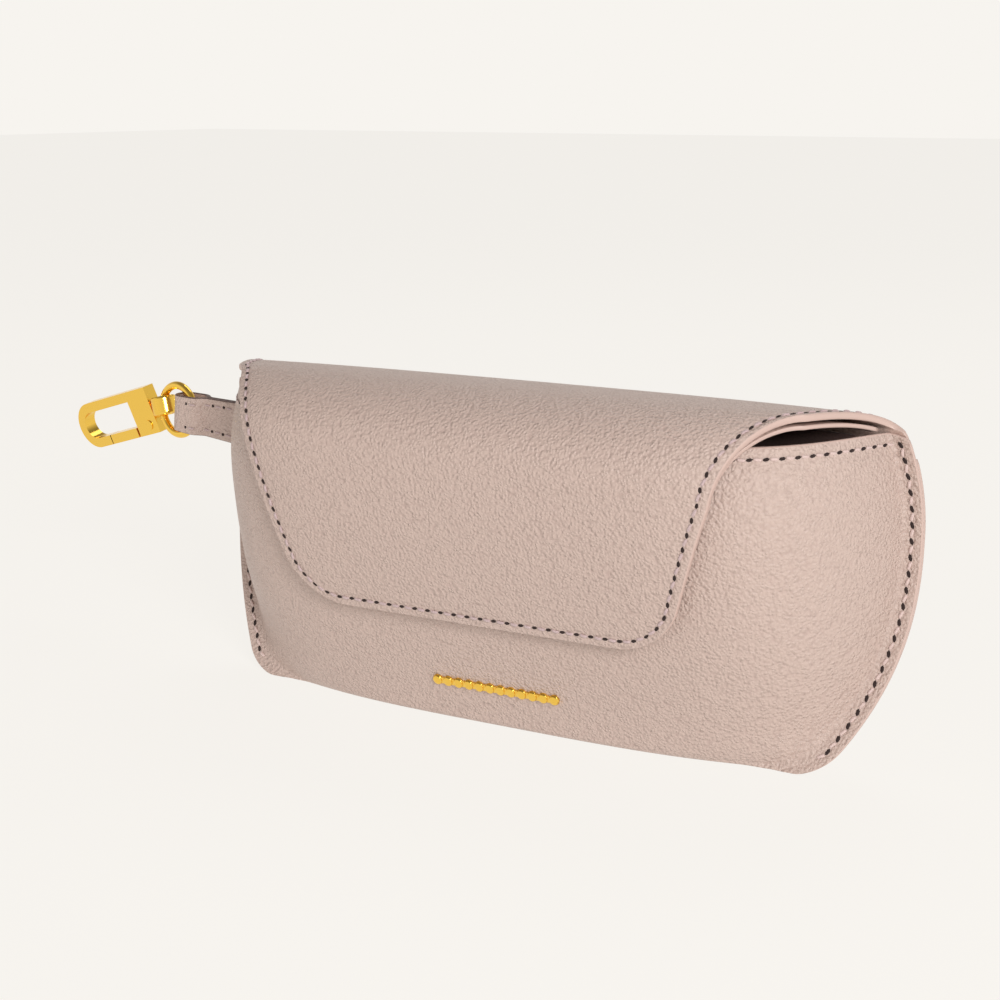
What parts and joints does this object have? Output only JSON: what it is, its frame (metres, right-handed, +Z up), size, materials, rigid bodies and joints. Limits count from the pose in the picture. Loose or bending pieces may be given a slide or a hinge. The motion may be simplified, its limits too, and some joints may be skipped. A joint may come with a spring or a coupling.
{
  "type": "glasses case",
  "caption": "Soft leather pouch case for glasses with a fold-over magnetic flap, a curved seam, and a side strap carrying a ring and a gate clasp.",
  "frame": {"origin": "on the floor under the middle of the pouch, between the front and back folds of its foot", "axes": "+X along the case away from the strap, -Y towards the flap and the ornament, +Z up"},
  "size_m": [0.2339, 0.0525, 0.078],
  "materials": {
    "blush_leather": "fine pebbled grain, soft sheen",
    "flap_backing": "smooth",
    "lining": "soft nap",
    "stiffening_board": "plain fibreboard",
    "thread": "twisted sewing thread",
    "gold_metal": "polished",
    "steel": "plain"
  },
  "bodies": {
    "pouch": {"front_panel": "blush_leather", "back_panel": "blush_leather", "front_board": "stiffening_board", "back_board": "stiffening_board", "front_lining": "lining", "back_lining": "lining", "seam_thread_right": "thread", "seam_thread_left": "thread", "mouth_thread": "thread", "pouch_magnet": "steel", "ornament": "gold_metal", "ornament_prongs": "gold_metal"},
    "flap": {"flap_leather": "blush_leather", "flap_board": "stiffening_board", "flap_lining": "flap_backing", "flap_thread": "thread", "flap_magnet": "steel"},
    "strap": {"strap_leather": "blush_leather", "strap_thread": "thread"},
    "ring": {"strap_ring": "gold_metal"},
    "swivel": {"swivel_eye": "gold_metal"},
    "clasp": {"clasp_body": "gold_metal", "gate_pin": "gold_metal", "gate_spring": "steel"},
    "gate": {"clasp_gate": "gold_metal"}
  },
  "joints": [
    {"name": "flap_hinge", "type": "hinge", "parent": "pouch", "child": "flap", "pos_m": [0, 0.01145, 0.07275], "axis": [-1, 0, 0], "range_deg": [0, 150]},
    {"name": "strap_swing", "type": "hinge", "parent": "pouch", "child": "strap", "pos_m": [-0.0881, 0.01159, 0.05831], "axis": [0.0872, 0, 0.9962], "range_deg": [-60, 60], "stiffness_Nm_per_rad": 0.002},
    {"name": "ring_swing", "type": "hinge", "parent": "strap", "child": "ring", "pos_m": [-0.10128, 0.01159, 0.05916], "axis": [0.0872, 0, 0.9962], "range_deg": [-4, 26]},
    {"name": "eye_slide", "type": "hinge", "parent": "ring", "child": "swivel", "pos_m": [-0.10741, 0.0129, 0.0597], "axis": [0.2071, 0.9781, -0.0181], "range_deg": [-50, 50]},
    {"name": "clasp_swivel", "type": "hinge", "parent": "swivel", "child": "clasp", "pos_m": [-0.11626, 0.01476, 0.05919], "axis": [-0.9409, 0.1941, -0.2774], "continuous": true},
    {"name": "gate_pivot", "type": "hinge", "parent": "clasp", "child": "gate", "pos_m": [-0.11832, 0.01597, 0.05477], "axis": [0.1416, 0.9698, 0.1984], "range_deg": [0, 20], "stiffness_Nm_per_rad": 0.004, "springref_deg": -14.32, "deforming": ["gate_spring"]}
  ]
}
